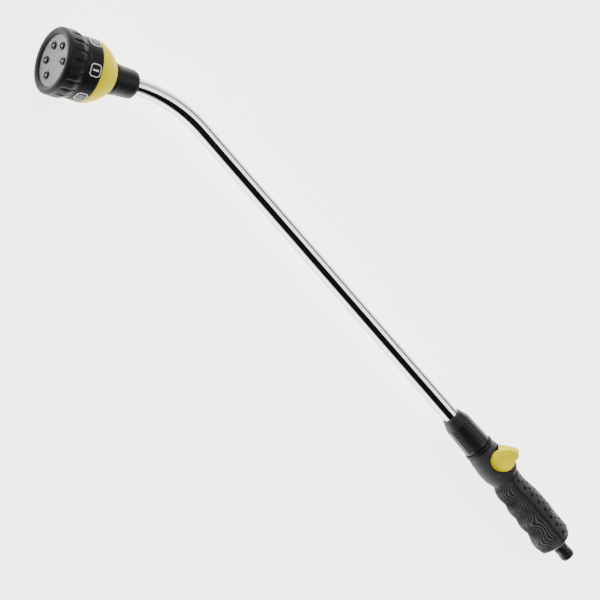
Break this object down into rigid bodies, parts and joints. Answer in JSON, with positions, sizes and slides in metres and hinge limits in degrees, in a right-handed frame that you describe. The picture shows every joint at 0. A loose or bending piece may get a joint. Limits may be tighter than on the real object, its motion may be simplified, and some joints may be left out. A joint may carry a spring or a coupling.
{
  "type": "watering wand",
  "caption": "Garden watering wand: spray head with a turning pattern dial on a bent chrome tube, union nut, thumb-lever valve, finger-grip handle and hose plug.",
  "frame": {"origin": "middle of the bounding box, with the wand lying on its side", "axes": "+X along the straight tube towards the hose plug; +Z square to the plane of the tube's bend, up when the wand lies flat; the head leans towards -Y"},
  "size_m": [0.7746, 0.1182, 0.0672],
  "materials": {
    "yellow_shell": "satin moulded plastic",
    "dial_plastic": "fine moulded texture",
    "neck_plastic": "fine moulded texture",
    "face_metal": "brushed",
    "nozzle_plastic": "smooth",
    "pin_plastic": "smooth",
    "inner_plastic": "plain moulded",
    "acetal": "smooth",
    "seal_rubber": "smooth",
    "steel": "bright",
    "ferrule_metal": "satin",
    "chrome_tube": "polished",
    "nut_plastic": "fine moulded texture",
    "collar_plastic": "fine moulded texture",
    "housing_plastic": "fine moulded texture",
    "lever_yellow": "satin moulded plastic",
    "grip_rubber": "rippled soft grip",
    "pad_rubber": "dimpled soft grip",
    "plug_plastic": "fine moulded texture"
  },
  "bodies": {
    "handle": {"housing_left": "housing_plastic", "housing_right": "housing_plastic", "grip_sleeve": "grip_rubber", "thumb_pad": "pad_rubber", "valve_body": "inner_plastic", "water_tube": "inner_plastic", "collar_ring": "collar_plastic", "tube_seal": "seal_rubber", "hose_plug": "plug_plastic", "plug_gasket": "seal_rubber", "plug_seal": "seal_rubber", "inlet_filter": "acetal", "housing_screw_1": "steel", "housing_screw_2": "steel", "housing_screw_3": "steel"},
    "lance": {"lance_tube": "chrome_tube", "tube_ferrule": "ferrule_metal", "neck_socket": "neck_plastic", "neck_seal": "seal_rubber", "head_shell": "yellow_shell", "head_core": "inner_plastic", "port_seal": "seal_rubber", "seal_spring": "steel", "turret_screw": "steel", "click_spring": "steel"},
    "dial": {"dial_ring": "dial_plastic", "selector_disc": "inner_plastic", "face_plate": "face_metal", "nozzle_1": "nozzle_plastic", "nozzle_2": "nozzle_plastic", "nozzle_3": "nozzle_plastic", "nozzle_4": "nozzle_plastic", "nozzle_5": "nozzle_plastic", "spray_pin_1": "pin_plastic", "spray_pin_2": "pin_plastic", "spray_pin_3": "pin_plastic", "spray_pin_4": "pin_plastic", "spray_pin_5": "pin_plastic"},
    "nut": {"union_nut": "nut_plastic", "collet": "acetal"},
    "lever": {"thumb_lever": "lever_yellow", "cam_shaft": "steel"},
    "spool": {"valve_spool": "acetal", "spool_seal_front": "seal_rubber", "spool_seal_rear": "seal_rubber"}
  },
  "joints": [
    {"name": "tube_turn", "type": "hinge", "parent": "handle", "child": "lance", "pos_m": [0.2343, 0.03865, 0], "axis": [1, 0, 0], "continuous": true},
    {"name": "dial_turn", "type": "hinge", "parent": "lance", "child": "dial", "pos_m": [-0.28459, 0.01943, 0], "axis": [-0.8634, -0.5045, 0], "continuous": true},
    {"name": "nut_turn", "type": "hinge", "parent": "handle", "child": "nut", "pos_m": [0.2343, 0.03865, 0], "axis": [1, 0, 0], "range_deg": [0, 180]},
    {"name": "lever_turn", "type": "hinge", "parent": "handle", "child": "lever", "pos_m": [0.2543, 0.04872, 0.00972], "axis": [0, -0.6947, 0.7193], "range_deg": [0, 35]},
    {"name": "spool_slide", "type": "slide", "parent": "handle", "child": "spool", "axis": [1, 0, 0], "range_m": [0, 0.00605]}
  ],
  "couplings": [
    {"joint": "spool_slide", "follows": "lever_turn", "m_per_rad": 0.009845}
  ]
}
